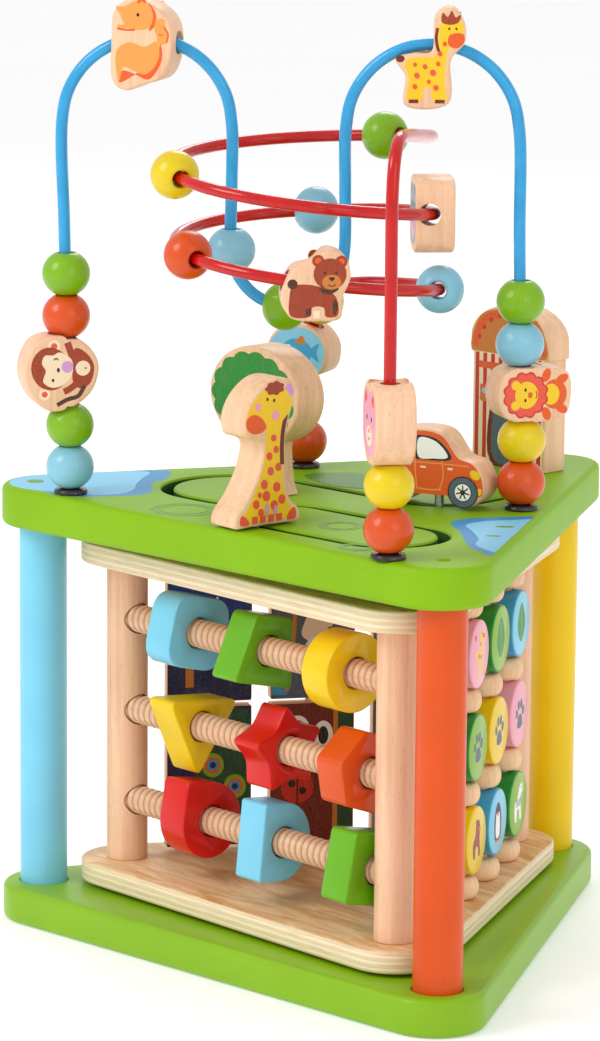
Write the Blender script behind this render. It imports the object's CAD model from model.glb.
import math

import bmesh
import bpy
from mathutils import Matrix, Vector


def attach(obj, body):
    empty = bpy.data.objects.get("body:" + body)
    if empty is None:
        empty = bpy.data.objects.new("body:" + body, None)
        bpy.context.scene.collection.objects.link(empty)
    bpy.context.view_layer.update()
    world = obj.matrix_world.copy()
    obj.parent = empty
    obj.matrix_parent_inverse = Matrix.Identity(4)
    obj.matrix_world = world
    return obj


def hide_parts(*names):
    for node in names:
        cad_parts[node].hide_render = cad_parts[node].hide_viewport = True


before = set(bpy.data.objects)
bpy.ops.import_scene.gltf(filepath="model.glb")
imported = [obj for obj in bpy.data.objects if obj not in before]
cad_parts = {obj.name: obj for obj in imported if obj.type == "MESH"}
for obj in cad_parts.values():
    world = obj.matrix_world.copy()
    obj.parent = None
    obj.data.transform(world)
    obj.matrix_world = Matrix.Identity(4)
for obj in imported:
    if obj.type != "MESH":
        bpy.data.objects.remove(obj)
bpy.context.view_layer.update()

# Wooden activity centre. Lengths are in millimetres until a piece is placed.
MM = 0.001
RAD = math.pi / 180

BOARD_INRADIUS, BOARD_CORNER = 106.2, 27
BASE_TOP, TOP_UNDER, TOP_FACE = 19.6, 213.3, 234.7
EDGE_DIRECTIONS = (30, 150, 270)  # which way the boards' three straight edges face
PRINT_CLEAR = 3.8  # how far the prints on the top board stay from its edge
POST_RADIUS, POST_RING = 12.5, 164.2
CORNERS = {"blue": 210, "orange": -30, "yellow": 90}

TURN = -4  # how far the carousel stands turned, in degrees
PLATE_INRADIUS, PLATE_CORNER = 85.5, 26
PLATE_LOWER, FLOOR, CEILING, PLATE_UPPER = 21.5, 33.2, 194, 205.7
INNER_POST_RADIUS, INNER_POST_RING = 10.9, 120.8
SIDE = INNER_POST_RING / 2  # from the axis to the plane of two inner posts
ROD_RADIUS, THREAD_DEPTH, THREAD_PITCH = 7.45, 1.0, 4.6
ROD_HEIGHTS = [164, 115, 66]
NUT_THICKNESS, NUT_BORE = 19, 8.2

DISC_SIDE, PANEL_SIDE = 30, 150  # which way the carousel's sides with discs and panels face
DISC_RADIUS, DISC_THICKNESS, DISC_PITCH = 17.7, 17, 39.8
DISC_HEIGHTS = [162.6, 113.6, 64.6]
PANEL_WIDTH, PANEL_THICKNESS, PANEL_HEIGHT = 46, 8, 76.6

WIRE_RADIUS = 3.1
LEFT_FOOT, RIGHT_FOOT = Vector((-108.5, -93.7, 0)), Vector((81.9, 42.8, 0))
FRONT_FOOT, BACK_FOOT = Vector((121.5, -99, 0)), Vector((-78.9, 49.1, 0))
ARCH_Z = 427
LEFT_ARCH, RIGHT_ARCH = (39.6, 43.9), (185.9, 44.1)  # place along the line of the feet, radius
DIP, DIP_Z = (112.6, 29.1), 365
BEAD_RADIUS, BEAD_HALF = 12.4, 10.9
BLOCK_THICKNESS = 20
FIGURE_THICKNESS, FIGURE_LIFT = 20, 1.2
CLEAR = 0.3


# ---------------------------------------------------------------- colours
def colour(code):
    """A paint's usual six-digit code as linear red, green and blue."""
    parts = [int(code[i : i + 2], 16) / 255 for i in (0, 2, 4)]
    return tuple(p / 12.92 if p <= 0.04045 else ((p + 0.055) / 1.055) ** 2.4 for p in parts)


# What the wood is sprayed or dipped in.
PAINTS = {
    "lime": "84B40C", "sky": "7CCBE8", "orange": "DB4F06", "yellow": "EFC800",
    "green": "66AE08", "leaf": "1F8A30", "red": "D6120C", "pink": "F2A3B4", "teal": "3F9FC8",
    "bead_green": "7BAF04", "bead_orange": "D64C0C", "bead_yellow": "E2C602",
    "bead_pale_blue": "83BED3",
}
# What the pictures are printed in.
INKS = {
    "brown": "9C3410", "dark_brown": "4A1E0C", "tan": "CE7A26", "cream": "F6DDBB", "black": "0C0A08",
    "white": "F7F5EF", "yellow": "F4C608", "orange": "E4560E", "red": "CC2418", "coral": "E65038",
    "pink": "EE9DB6", "lilac": "D295CF", "leaf": "10862A", "lime": "84B40C", "olive": "4E8A12",
    "ring": "5F9A10", "water": "7CCBEE", "shore": "1C8CCB", "sky": "86CBEA", "blue": "2FA0D2",
    "deep_blue": "123C94", "navy": "0E1C52", "grey": "8F9AA0", "steel": "4C6070", "apricot": "F39A44",
    "maroon": "701408", "bottle": "0E4A2A",
}
GROOVE_SHADE = (0.02, 0.09, 0.01)


# ---------------------------------------------------------------- materials written as sums
class Flow:
    """A value running through a material; plus, times, divide and greater-than add the nodes."""

    def __init__(self, finish, socket):
        self.finish = finish
        self.socket = socket

    def sum_with(self, operation, other):
        return self.finish.node("Math", {"operation": operation}, {0: self, 1: other})

    def __add__(self, other):
        return self.sum_with("ADD", other)

    def __mul__(self, other):
        return self.sum_with("MULTIPLY", other)

    def __truediv__(self, other):
        return self.sum_with("DIVIDE", other)

    def __gt__(self, other):
        return self.sum_with("GREATER_THAN", other)

    __radd__ = __add__
    __rmul__ = __mul__


class Finish:
    """One material, built node by node."""

    def __init__(self, name):
        self.material = bpy.data.materials.new(name)
        self.material.use_nodes = True
        self.tree = self.material.node_tree
        self.tree.nodes.clear()
        self.place = self.node("TexCoord", output="Object")

    def node(self, kind, settings=None, inputs=None, output=0):
        made = self.tree.nodes.new("ShaderNode" + kind)
        for key, value in (settings or {}).items():
            if key == "stops":
                self.set_stops(made.color_ramp, value)
            else:
                setattr(made, key, value)
        for key, value in (inputs or {}).items():
            if isinstance(value, Flow):
                self.tree.links.new(value.socket, made.inputs[key])
            else:
                made.inputs[key].default_value = value
        return Flow(self, made.outputs[output])

    def set_stops(self, ramp, stops):
        while len(ramp.elements) < len(stops):
            ramp.elements.new(1)
        for element, (position, shade) in zip(ramp.elements, stops):
            element.position = position
            element.color = (*shade, 1) if isinstance(shade, tuple) else (shade, shade, shade, 1)

    def stretched(self, scale):
        return self.node("Mapping", {}, {"Vector": self.place, "Scale": scale})

    def noise(self, scale, where=None, detail=3, rough=0.5, warp=0):
        inputs = {"Vector": where or self.place, "Scale": scale, "Detail": detail, "Roughness": rough}
        inputs["Distortion"] = warp
        return self.node("TexNoise", {}, inputs)

    def ramp(self, value, *stops):
        return self.node("ValToRGB", {"stops": stops}, {"Fac": value})

    def blend(self, share, first, second):
        """Colours mixed by share; both may be fixed colours or flows."""
        made = self.tree.nodes.new("ShaderNodeMix")
        made.data_type = "RGBA"
        for place, value in ((0, share), (6, first), (7, second)):
            if isinstance(value, Flow):
                self.tree.links.new(value.socket, made.inputs[place])
            elif place == 0:
                made.inputs[place].default_value = value
            else:
                made.inputs[place].default_value = (*value, 1)
        return Flow(self, made.outputs[2])

    def bump(self, height, strength, reach):
        return self.node("Bump", {}, {"Height": height, "Strength": strength, "Distance": reach})

    def close(self, tint, roughness, normal=None, **fixed):
        inputs = {"Base Color": tint, "Roughness": roughness, "Specular IOR Level": 0.3}
        if normal is not None:
            inputs["Normal"] = normal
        inputs.update({key.replace("_", " "): value for key, value in fixed.items()})
        if not isinstance(tint, Flow):
            inputs["Base Color"] = (*tint, 1)
        surface = self.node("BsdfPrincipled", {}, inputs)
        self.node_out(surface)
        return self.material

    def node_out(self, surface):
        out = self.tree.nodes.new("ShaderNodeOutputMaterial")
        self.tree.links.new(surface.socket, out.inputs["Surface"])


def grain_scale(along, fine, long):
    """Mapping scale that stretches a pattern along one axis of the piece."""
    return tuple(long if axis == along else fine for axis in "xyz")


def scaled(tint, share):
    return tuple(min(1, c * share) for c in tint)


def paint(name, code, along="z", coat=0.1, roughness=0.34, edge=0.05, grooved=False):
    """Sprayed paint over sanded wood: a little uneven in tone, the grain just telegraphs through."""
    f = Finish(name)
    tint = colour(code)
    cloud = f.noise(26, detail=2)
    pores = f.noise(1, f.stretched(grain_scale(along, 900, 60)), detail=4, rough=0.6)
    specks = f.noise(2600, detail=1)
    shade = f.blend(f.ramp(cloud, (0.3, 0.0), (0.7, 1.0)), scaled(tint, 1 - edge), scaled(tint, 1 + edge))
    shade = f.blend(f.ramp(pores, (0.30, 0.22), (0.42, 0.0)), shade, scaled(tint, 0.82))
    if grooved:
        groove = f.node("Attribute", {"attribute_name": "groove"}, output="Fac")
        shade = f.blend(groove, shade, GROOVE_SHADE)
    dull = roughness - 0.05 + cloud * 0.08 + f.ramp(specks, (0.45, 0.0), (0.75, 0.06))
    height = pores * 0.7 + specks * 0.3
    return f.close(shade, dull, f.bump(height, 0.12, 0.0004), Coat_Weight=coat, Coat_Roughness=0.12,
                   Specular_IOR_Level=0.15 if grooved else 0.28)


def lacquer(name, code):
    """Turned bead: thin glossy lacquer with a soft fine grain under it."""
    f = Finish(name)
    tint = colour(code)
    cloud = f.noise(60, detail=2)
    fibre = f.noise(1, f.stretched(grain_scale("z", 1500, 160)), detail=3, rough=0.6)
    shade = f.blend(f.ramp(cloud, (0.3, 0.0), (0.75, 1.0)), scaled(tint, 0.94), scaled(tint, 1.05))
    shade = f.blend(f.ramp(fibre, (0.28, 0.3), (0.45, 0.0)), shade, scaled(tint, 0.8))
    return f.close(
        shade, 0.3 + fibre * 0.1, f.bump(fibre, 0.1, 0.0003), Coat_Weight=0.3, Coat_Roughness=0.08
    )


def beech(name, along="z", tone=1.0, pink=0.0, thread=False):
    """Clear-varnished beech: straight grain, short dark flecks, soft streaks."""
    f = Finish(name)
    pale = (0.84 * tone, (0.57 - 0.04 * pink) * tone, 0.345 * tone)
    deep = (0.70 * tone, (0.42 - 0.05 * pink) * tone, 0.225 * tone)
    streak = f.noise(1, f.stretched(grain_scale(along, 240, 9)), detail=5, rough=0.6, warp=0.6)
    fleck = f.noise(1, f.stretched(grain_scale(along, 1500, 170)), detail=2, rough=0.7)
    broad = f.noise(18, detail=2)
    shade = f.blend(f.ramp(streak, (0.32, 0.0), (0.68, 1.0)), deep, pale)
    shade = f.blend(f.ramp(broad, (0.35, 0.35), (0.65, 0.0)), shade, scaled(pale, 1.12))
    shade = f.blend(f.ramp(fleck, (0.27, 0.6), (0.37, 0.0)), shade, scaled(deep, 0.62))
    if thread:
        split = f.node("SeparateXYZ", {}, {0: f.place}, output=1)
        other = f.node("SeparateXYZ", {}, {0: f.place}, output=2)
        radius = f.node("Math", {"operation": "SQRT"}, {0: split * split + other * other})
        low = f.node("MapRange", {}, {0: radius, 1: 0.0062, 2: 0.0072, 3: 1.0, 4: 0.0})
        shade = f.blend(low, shade, scaled(deep, 0.34))
    height = streak * 0.6 + fleck * 0.8
    return f.close(shade, 0.42 + streak * 0.12, f.bump(height, 0.2, 0.0003), Coat_Weight=0.12)


def plywood(name):
    """Birch plywood: swirled pale face, and thin layers showing round the edge."""
    f = Finish(name)
    pale, deep = (0.90, 0.63, 0.36), (0.66, 0.33, 0.115)
    swirl = f.noise(1, f.stretched((16, 70, 30)), detail=5, rough=0.6, warp=1.8)
    fine = f.noise(1, f.stretched((120, 900, 900)), detail=3, rough=0.6)
    face = f.blend(f.ramp(swirl, (0.34, 0.0), (0.62, 1.0)), deep, pale)
    face = f.blend(f.ramp(fine, (0.30, 0.35), (0.45, 0.0)), face, scaled(deep, 0.75))
    height = f.node("SeparateXYZ", {}, {0: f.place}, output=2)
    wobble = f.noise(30, detail=1) * 0.00035
    layer = f.node("Math", {"operation": "FRACT"}, {0: (height + wobble) / 0.00334})
    edge = f.blend(f.ramp(layer, (0.0, 1.0), (0.44, 1.0), (0.5, 0.0), (0.94, 0.0), (1.0, 1.0)),
                   (0.84, 0.65, 0.40), (0.93, 0.79, 0.56))
    glue = f.ramp(layer, (0.44, 0.0), (0.47, 0.6), (0.50, 0.0), (0.94, 0.0), (0.97, 0.6), (1.0, 0.0))
    patchy = f.ramp(f.noise(1, f.stretched((40, 40, 400)), detail=3), (0.4, 0.35), (0.6, 1.0))
    edge = f.blend(glue * patchy, edge, (0.36, 0.22, 0.10))
    streak = f.noise(1, f.stretched((60, 60, 1500)), detail=3)
    edge = f.blend(f.ramp(streak, (0.35, 0.25), (0.5, 0.0)), edge, (0.50, 0.34, 0.18))
    lean = f.node("SeparateXYZ", {}, {0: f.node("TexCoord", output="Normal")}, output=2)
    flat = f.node("Math", {"operation": "ABSOLUTE"}, {0: lean}) > 0.75
    shade = f.blend(flat, edge, face)
    return f.close(shade, 0.45 + fine * 0.1, f.bump(fine + layer * 0.4, 0.12, 0.0003), Coat_Weight=0.15)


def dipped(name, code):
    """Thick glossy plastic coat on bent wire."""
    f = Finish(name)
    tint = colour(code)
    wave = f.noise(90, detail=2)
    dust = f.noise(900, detail=2)
    shade = f.blend(f.ramp(wave, (0.3, 0.0), (0.7, 1.0)), scaled(tint, 0.9), scaled(tint, 1.06))
    dull = 0.16 + f.ramp(dust, (0.5, 0.0), (0.8, 0.12))
    return f.close(
        shade, dull, f.bump(wave * 0.8 + dust * 0.2, 0.1, 0.0004), Coat_Weight=0.35, Coat_Roughness=0.06
    )


def moulded_black(name):
    f = Finish(name)
    fine = f.noise(700, detail=3)
    wear = f.noise(160, detail=3)
    shade = f.blend(f.ramp(wear, (0.45, 0.0), (0.8, 1.0)), (0.012, 0.011, 0.011), (0.05, 0.048, 0.046))
    return f.close(shade, 0.2 + fine * 0.15, f.bump(fine, 0.08, 0.0002), Coat_Weight=0.4)


def steel(name):
    f = Finish(name)
    brushed = f.noise(1, f.stretched((300, 300, 3000)), detail=2)
    shade = f.blend(brushed, (0.42, 0.43, 0.45), (0.68, 0.69, 0.70))
    return f.close(shade, 0.25 + brushed * 0.2, f.bump(brushed, 0.1, 0.0002), Metallic=1.0)


def ink(name, gloss=0.12):
    """Printed colours, held on the print itself, thin enough for the grain to show faintly."""
    f = Finish(name)
    tint = f.node("Attribute", {"attribute_name": "ink"}, output="Color")
    fibre = f.noise(1, f.stretched((900, 110, 900)), detail=3, rough=0.6)
    dots = f.noise(1900, detail=1)
    shade = f.blend(f.ramp(fibre, (0.3, 0.22), (0.5, 0.0)), tint, f.blend(0.4, tint, (0.5, 0.3, 0.16)))
    shade = f.blend(f.ramp(dots, (0.35, 0.06), (0.55, 0.0)), shade, (0.85, 0.72, 0.55))
    return f.close(shade, 0.4 + fibre * 0.1, f.bump(fibre, 0.1, 0.0002), Coat_Weight=gloss)


BOARD_LIME = paint("board_lime", PAINTS["lime"], along="x", roughness=0.36, edge=0.04)
SLOTTED_LIME = paint(
    "slotted_lime", PAINTS["lime"], along="x", coat=0.03, roughness=0.46, edge=0.04, grooved=True
)
POST_PAINTS = {
    "blue": paint("post_sky", PAINTS["sky"]),
    "orange": paint("post_orange", PAINTS["orange"]),
    "yellow": paint("post_yellow", PAINTS["yellow"]),
}
BEAD_PAINTS = {k: lacquer("lacquer_" + k, PAINTS["bead_" + k])
               for k in ("green", "yellow", "orange", "pale_blue")}
NUT_PAINTS = {k: paint("nut_" + k, PAINTS[k], along="y", coat=0.2, roughness=0.3)
              for k in ("sky", "green", "yellow", "red", "orange")}
DISC_PAINTS = {k: paint("disc_" + k, PAINTS[k], along="y", coat=0.2)
               for k in ("sky", "yellow", "pink", "lime", "leaf", "teal")}
BLOCK_BEECH = beech("block_beech", along="y", tone=1.04, pink=0.6)
FIGURE_BEECH = beech("figure_beech", along="y", tone=1.03, pink=0.3)
POST_BEECH = beech("post_beech", along="z", tone=1.06, pink=0.7)
ROD_BEECH = beech("rod_beech", along="x", tone=1.0, pink=0.7, thread=True)
RING_BEECH = beech("ring_beech", along="z", tone=1.08)
PLYWOOD = plywood("birch_plywood")
WIRE_BLUE = dipped("wire_blue_coat", "2C9FD8")
WIRE_RED = dipped("wire_red_coat", "C40C08")
BLACK = moulded_black("collar_black")
STEEL = steel("bright_steel")
INK = ink("printed_ink")
BOARD_INK = ink("board_ink", gloss=0.0)


# ---------------------------------------------------------------- making pieces
def moved(x, y, z):
    return Matrix.Translation(Vector((x, y, z)) * MM)


def pointing(position, direction):
    """Puts a piece's own Z along a direction."""
    turn = Vector((0, 0, 1)).rotation_difference(direction).to_matrix().to_4x4()
    return Matrix.Translation(Vector(position) * MM) @ turn


def standing(position, normal):
    """Puts a flat piece upright: its own Y goes up and its face looks towards this azimuth."""
    c, s = math.cos(normal * RAD), math.sin(normal * RAD)
    upright = Matrix(((-s, 0, c, 0), (c, 0, s, 0), (0, 1, 0, 0), (0, 0, 0, 1)))
    return Matrix.Translation(Vector(position) * MM) @ upright


ON_CAROUSEL = Matrix.Rotation(TURN * RAD, 4, "Z")
AS_DRAWN = Matrix.Identity(4)


def tidy_mesh(piece, smooth_below):
    """Joins doubled points, turns the faces out and keeps only the true edges sharp."""
    mesh = piece.data
    skin = bmesh.new()
    skin.from_mesh(mesh)
    bmesh.ops.remove_doubles(skin, verts=skin.verts, dist=1e-7)
    bmesh.ops.recalc_face_normals(skin, faces=skin.faces)
    big = [face for face in skin.faces if len(face.verts) > 4]
    bmesh.ops.triangulate(skin, faces=big)
    skin.to_mesh(mesh)
    skin.free()
    mesh.shade_smooth()
    mesh.set_sharp_from_angle(angle=smooth_below * RAD)


def piece_from(name, points, faces, material, place=AS_DRAWN, smooth_below=38):
    mesh = bpy.data.meshes.new(name)
    mesh.from_pydata([Vector(p) * MM for p in points], [], faces)
    mesh.materials.append(material)
    piece = bpy.data.objects.new(name, mesh)
    bpy.context.collection.objects.link(piece)
    piece.matrix_world = place
    tidy_mesh(piece, smooth_below)
    return piece


def loft(rings, closed=False):
    """Points and faces of a skin over rings of equal count, with flat ends unless it closes."""
    count = len(rings[0])
    points = [p for ring in rings for p in ring]
    faces = []
    last = len(rings) if closed else len(rings) - 1
    for i in range(last):
        low, high = i * count, ((i + 1) % len(rings)) * count
        for k in range(count):
            m = (k + 1) % count
            faces.append((low + k, low + m, high + m, high + k))
    if not closed:
        faces.append(tuple(reversed(range(count))))
        faces.append(tuple(range((len(rings) - 1) * count, len(rings) * count)))
    return points, faces


def levels(bottom, top, rounding, steps=4):
    """Heights of a board's skin and how far each is drawn in, for evenly rounded edges."""
    curve = [(rounding * (1 - math.sin(a)), rounding * (1 - math.cos(a)))
             for a in (math.pi / 2 * i / steps for i in range(steps + 1))]
    lower = [(inset, bottom + rise) for inset, rise in curve]
    return lower + [(inset, top - rise) for inset, rise in reversed(curve)]


def rounded_triangle(inradius, corner, per_corner=14):
    """A function from an inset to the outline's points."""
    def outline(inset):
        points = []
        for angle in (-30, 90, 210):
            centre = 2 * (inradius - corner)
            x, y = centre * math.cos(angle * RAD), centre * math.sin(angle * RAD)
            for i in range(per_corner + 1):
                a = (angle - 60 + 120 * i / per_corner) * RAD
                points.append((x + (corner - inset) * math.cos(a), y + (corner - inset) * math.sin(a)))
        return points
    return outline


def drawn_in(points):
    """A function from an inset to the same closed outline moved inwards."""
    area = sum(a[0] * b[1] - b[0] * a[1] for a, b in zip(points, points[1:] + points[:1]))
    if area < 0:
        points = points[::-1]
    count = len(points)
    normals = []
    for i, point in enumerate(points):
        before, after = Vector(points[i - 1]), Vector(points[(i + 1) % count])
        a = (Vector(point) - before).normalized()
        b = (after - Vector(point)).normalized()
        inward = Vector((-(a.y + b.y), a.x + b.x))
        bend = max(0.55, (1 + a.dot(b)) / 2) ** 0.5
        normals.append(inward.normalized() / bend)
    return lambda inset: [(p[0] + n.x * inset, p[1] + n.y * inset) for p, n in zip(points, normals)]


def board_piece(name, outline, bottom, top, rounding, material, place=AS_DRAWN, steps=4, smooth_below=38):
    shape = outline if callable(outline) else drawn_in(outline)
    rings = [[(x, y, z) for x, y in shape(inset)] for inset, z in levels(bottom, top, rounding, steps)]
    return piece_from(name, *loft(rings), material, place, smooth_below)


def turned(name, profile, material, place=AS_DRAWN, segments=48, closed=False, smooth_below=38):
    """A turned piece about its own Z from (radius, height) pairs."""
    rings = []
    for radius, z in profile:
        angles = [2 * math.pi * k / segments for k in range(segments)]
        rings.append([(radius * math.cos(a), radius * math.sin(a), z) for a in angles])
    return piece_from(name, *loft(rings, closed), material, place, smooth_below)


def flowing(points, count, closed=False):
    """Points along an evenly flowing curve through the given ones."""
    given = [Vector(p) for p in points]
    size = len(given)
    spans = size if closed else size - 1
    made = []
    for i in range(count + (0 if closed else 1)):
        at = i * spans / count
        k = min(int(at), spans - 1)
        w = at - k
        if closed:
            four = [given[(k + j - 1) % size] for j in range(4)]
        else:
            ahead = [given[min(max(k + j - 1, 0), size - 1)] for j in range(4)]
            if k == 0:
                ahead[0] = given[0] * 2 - given[1]
            if k == size - 2:
                ahead[3] = given[-1] * 2 - given[-2]
            four = ahead
        knots = [0.0]
        for a, b in zip(four, four[1:]):
            knots.append(knots[-1] + max((b - a).length, 1e-6) ** 0.5)
        t = knots[1] + (knots[2] - knots[1]) * w

        def between(a, b, ta, tb):
            return a * ((tb - t) / (tb - ta)) + b * ((t - ta) / (tb - ta))

        first = [between(four[j], four[j + 1], knots[j], knots[j + 1]) for j in range(3)]
        second = [between(first[j], first[j + 1], knots[j], knots[j + 2]) for j in range(2)]
        made.append(between(second[0], second[1], knots[1], knots[2]))
    return made


def swept(name, line, radius, material, sides=18):
    """A round bar along a line of points, its section carried without twist."""
    line = [Vector(p) for p in line]
    heading = (line[1] - line[0]).normalized()
    across = heading.orthogonal().normalized()
    rings = []
    for i, point in enumerate(line):
        ahead = (line[min(i + 1, len(line) - 1)] - line[max(i - 1, 0)]).normalized()
        across = (heading.rotation_difference(ahead).to_matrix() @ across).normalized()
        heading = ahead
        other = heading.cross(across)
        ring = []
        for k in range(sides):
            a = 2 * math.pi * k / sides
            ring.append(tuple(point + (across * math.cos(a) + other * math.sin(a)) * radius))
        rings.append(ring)
    return piece_from(name, *loft(rings), material)


def carve(piece, *cutters, smooth_below=38):
    """Cuts the cutters out of a piece and throws them away."""
    for cutter in cutters:
        step = piece.modifiers.new("carve", "BOOLEAN")
        step.operation = "DIFFERENCE"
        step.object = cutter
        step.solver = "EXACT"
    bpy.context.view_layer.update()
    shown = piece.evaluated_get(bpy.context.evaluated_depsgraph_get())
    mesh = bpy.data.meshes.new_from_object(shown)
    piece.modifiers.clear()
    piece.data = mesh
    for cutter in cutters:
        bpy.data.objects.remove(cutter)
    tidy_mesh(piece, smooth_below)
    return piece


def flared_bore(radius, half_length, place, flare=0.7):
    """A drill with a small countersink where it leaves the piece."""
    profile = [(radius + flare + 3, -half_length - 3), (radius, -half_length + flare),
               (radius, half_length - flare), (radius + flare + 3, half_length + 3)]
    return turned("cutter", profile, BLACK, place, segments=28)


def settle(piece, body, slot=None, *nodes):
    """Gives a finished piece its body, its finish slot and the solids that it stands for."""
    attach(piece, body)
    if nodes:
        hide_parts(*nodes)
    return piece


# ---------------------------------------------------------------- printed pictures
INK_STEP = 0.015


def oval(x, y, rx, ry=None, turn=0, count=26):
    ry = rx if ry is None else ry
    c, s = math.cos(turn * RAD), math.sin(turn * RAD)
    angles = [2 * math.pi * k / count for k in range(count)]
    return [
        (x + rx * math.cos(a) * c - ry * math.sin(a) * s, y + rx * math.cos(a) * s + ry * math.sin(a) * c)
        for a in angles
    ]


def soft(points, each=5):
    """A closed outline that flows through its corners."""
    flow = flowing([(x, y, 0) for x, y in points], each * len(points), closed=True)
    return [(p.x, p.y) for p in flow]


def stroke(points, width, each=5):
    """A brush stroke along a flowing line."""
    line = flowing([(x, y, 0) for x, y in points], each * (len(points) - 1))
    sides = [[], []]
    for i, point in enumerate(line):
        ahead = line[min(i + 1, len(line) - 1)] - line[max(i - 1, 0)]
        normal = Vector((-ahead.y, ahead.x)).normalized()
        half = normal * width / 2
        sides[0].append((point.x + half.x, point.y + half.y))
        sides[1].append((point.x - half.x, point.y - half.y))
    return sides[0] + sides[1][::-1]


def scalloped(x, y, rx, ry, lobes, depth=0.12, count=90):
    """An oval with a lobed edge."""
    made = []
    for k in range(count):
        a = 2 * math.pi * k / count
        swell = 1 - depth * (1 - abs(math.sin(a * lobes / 2)))
        made.append((x + rx * swell * math.cos(a), y + ry * swell * math.sin(a)))
    return made


def box_shape(x0, y0, x1, y1):
    return [(x0, y0), (x1, y0), (x1, y1), (x0, y1)]


def flipped(shapes):
    """The same picture mirrored, for the back of a cut-out."""
    return [(tint, [(-x, y) for x, y in points]) for tint, points in shapes]


def print_on(name, shapes, height, place, body, slot, material=INK):
    """Thin layers of ink on a face, each laid just over the one before."""
    points, faces, owner = [], [], []
    for layer, (tint, outline) in enumerate(shapes):
        low, high = height - 0.03, height + INK_STEP * (layer + 1)
        start, count = len(points), len(outline)
        points += [(x, y, low) for x, y in outline] + [(x, y, high) for x, y in outline]
        faces.append(tuple(range(start + count, start + 2 * count)))
        faces.append(tuple(reversed(range(start, start + count))))
        owner += [tint, tint]
        for k in range(count):
            m = (k + 1) % count
            faces.append((start + k, start + m, start + count + m, start + count + k))
            owner.append(tint)
    mesh = bpy.data.meshes.new(name)
    mesh.from_pydata([Vector(p) * MM for p in points], [], faces)
    mesh.materials.append(material)
    # each face carries its ink's number while it is cut into triangles
    names = sorted(set(owner))
    for face, tint in zip(mesh.polygons, owner):
        face.material_index = names.index(tint)
    skin = bmesh.new()
    skin.from_mesh(mesh)
    bmesh.ops.recalc_face_normals(skin, faces=skin.faces)
    bmesh.ops.triangulate(skin, faces=[face for face in skin.faces if len(face.verts) > 4])
    skin.to_mesh(mesh)
    skin.free()
    inks = mesh.color_attributes.new(name="ink", type="FLOAT_COLOR", domain="CORNER")
    for face in mesh.polygons:
        tint = (*colour(INKS[names[face.material_index]]), 1)
        for corner in face.loop_indices:
            inks.data[corner].color = tint
        face.material_index = 0
    piece = bpy.data.objects.new(name, mesh)
    bpy.context.collection.objects.link(piece)
    piece.matrix_world = place
    return settle(piece, body, slot)


# ---------------------------------------------------------------- camera, floor and lights
def place_camera():
    lens = bpy.data.cameras.new("camera")
    lens.sensor_width = 36
    lens.lens = 161.81
    lens.clip_end = 20
    camera = bpy.data.objects.new("camera", lens)
    bpy.context.collection.objects.link(camera)
    azimuth, rise, roll = 44.0399 * RAD, 10.995 * RAD, 0.48155 * RAD
    right = Vector((math.cos(azimuth), math.sin(azimuth), 0))
    back = Vector((math.sin(azimuth) * math.cos(rise), -math.cos(azimuth) * math.cos(rise), math.sin(rise)))
    up = back.cross(right)
    tilted_right = right * math.cos(roll) + up * math.sin(roll)
    tilted_up = up * math.cos(roll) - right * math.sin(roll)
    spin = Matrix((tilted_right, tilted_up, back)).transposed().to_4x4()
    camera.matrix_world = Matrix.Translation(Vector((1632.392, -1723.041, 684.009)) * MM) @ spin
    bpy.context.scene.camera = camera


def soft_light(name, position, target, size, power):
    lamp = bpy.data.lights.new(name, "AREA")
    lamp.shape = "DISK"
    lamp.size = size
    lamp.energy = power
    holder = bpy.data.objects.new(name, lamp)
    bpy.context.collection.objects.link(holder)
    aim = (Vector(target) - Vector(position)).to_track_quat("-Z", "Y")
    holder.matrix_world = Matrix.Translation(Vector(position)) @ aim.to_matrix().to_4x4()


def make_floor():
    f = Finish("pale_floor")
    mottle = f.noise(3, detail=2)
    shade = f.blend(mottle, (0.86, 0.86, 0.86), (0.9, 0.9, 0.9))
    pale = f.close(shade, 0.8, Emission_Color=(1, 1, 1, 1), Emission_Strength=0.24)
    floor = piece_from(
        "floor",
        [(-9000, -9000, -0.2), (9000, -9000, -0.2), (9000, 9000, -0.2), (-9000, 9000, -0.2)],
        [(0, 1, 2, 3)],
        pale,
    )
    world = bpy.data.worlds.new("studio")
    world.use_nodes = True
    world.node_tree.nodes["Background"].inputs["Color"].default_value = (1, 1, 1, 1)
    world.node_tree.nodes["Background"].inputs["Strength"].default_value = 0.8
    bpy.context.scene.world = world
    bpy.context.scene.view_settings.view_transform = "Standard"
    soft_light("key", (-0.9, -2.3, 2.1), (0, 0, 0.22), 1.5, 34)
    soft_light("fill", (2.3, -0.6, 1.2), (0, 0, 0.25), 1.6, 8)
    soft_light("rim", (-1.4, 1.8, 1.9), (0, 0, 0.3), 1.2, 14)


# ---------------------------------------------------------------- base, posts and top board
def polar(angle, radius):
    return radius * math.cos(angle * RAD), radius * math.sin(angle * RAD)


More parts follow.
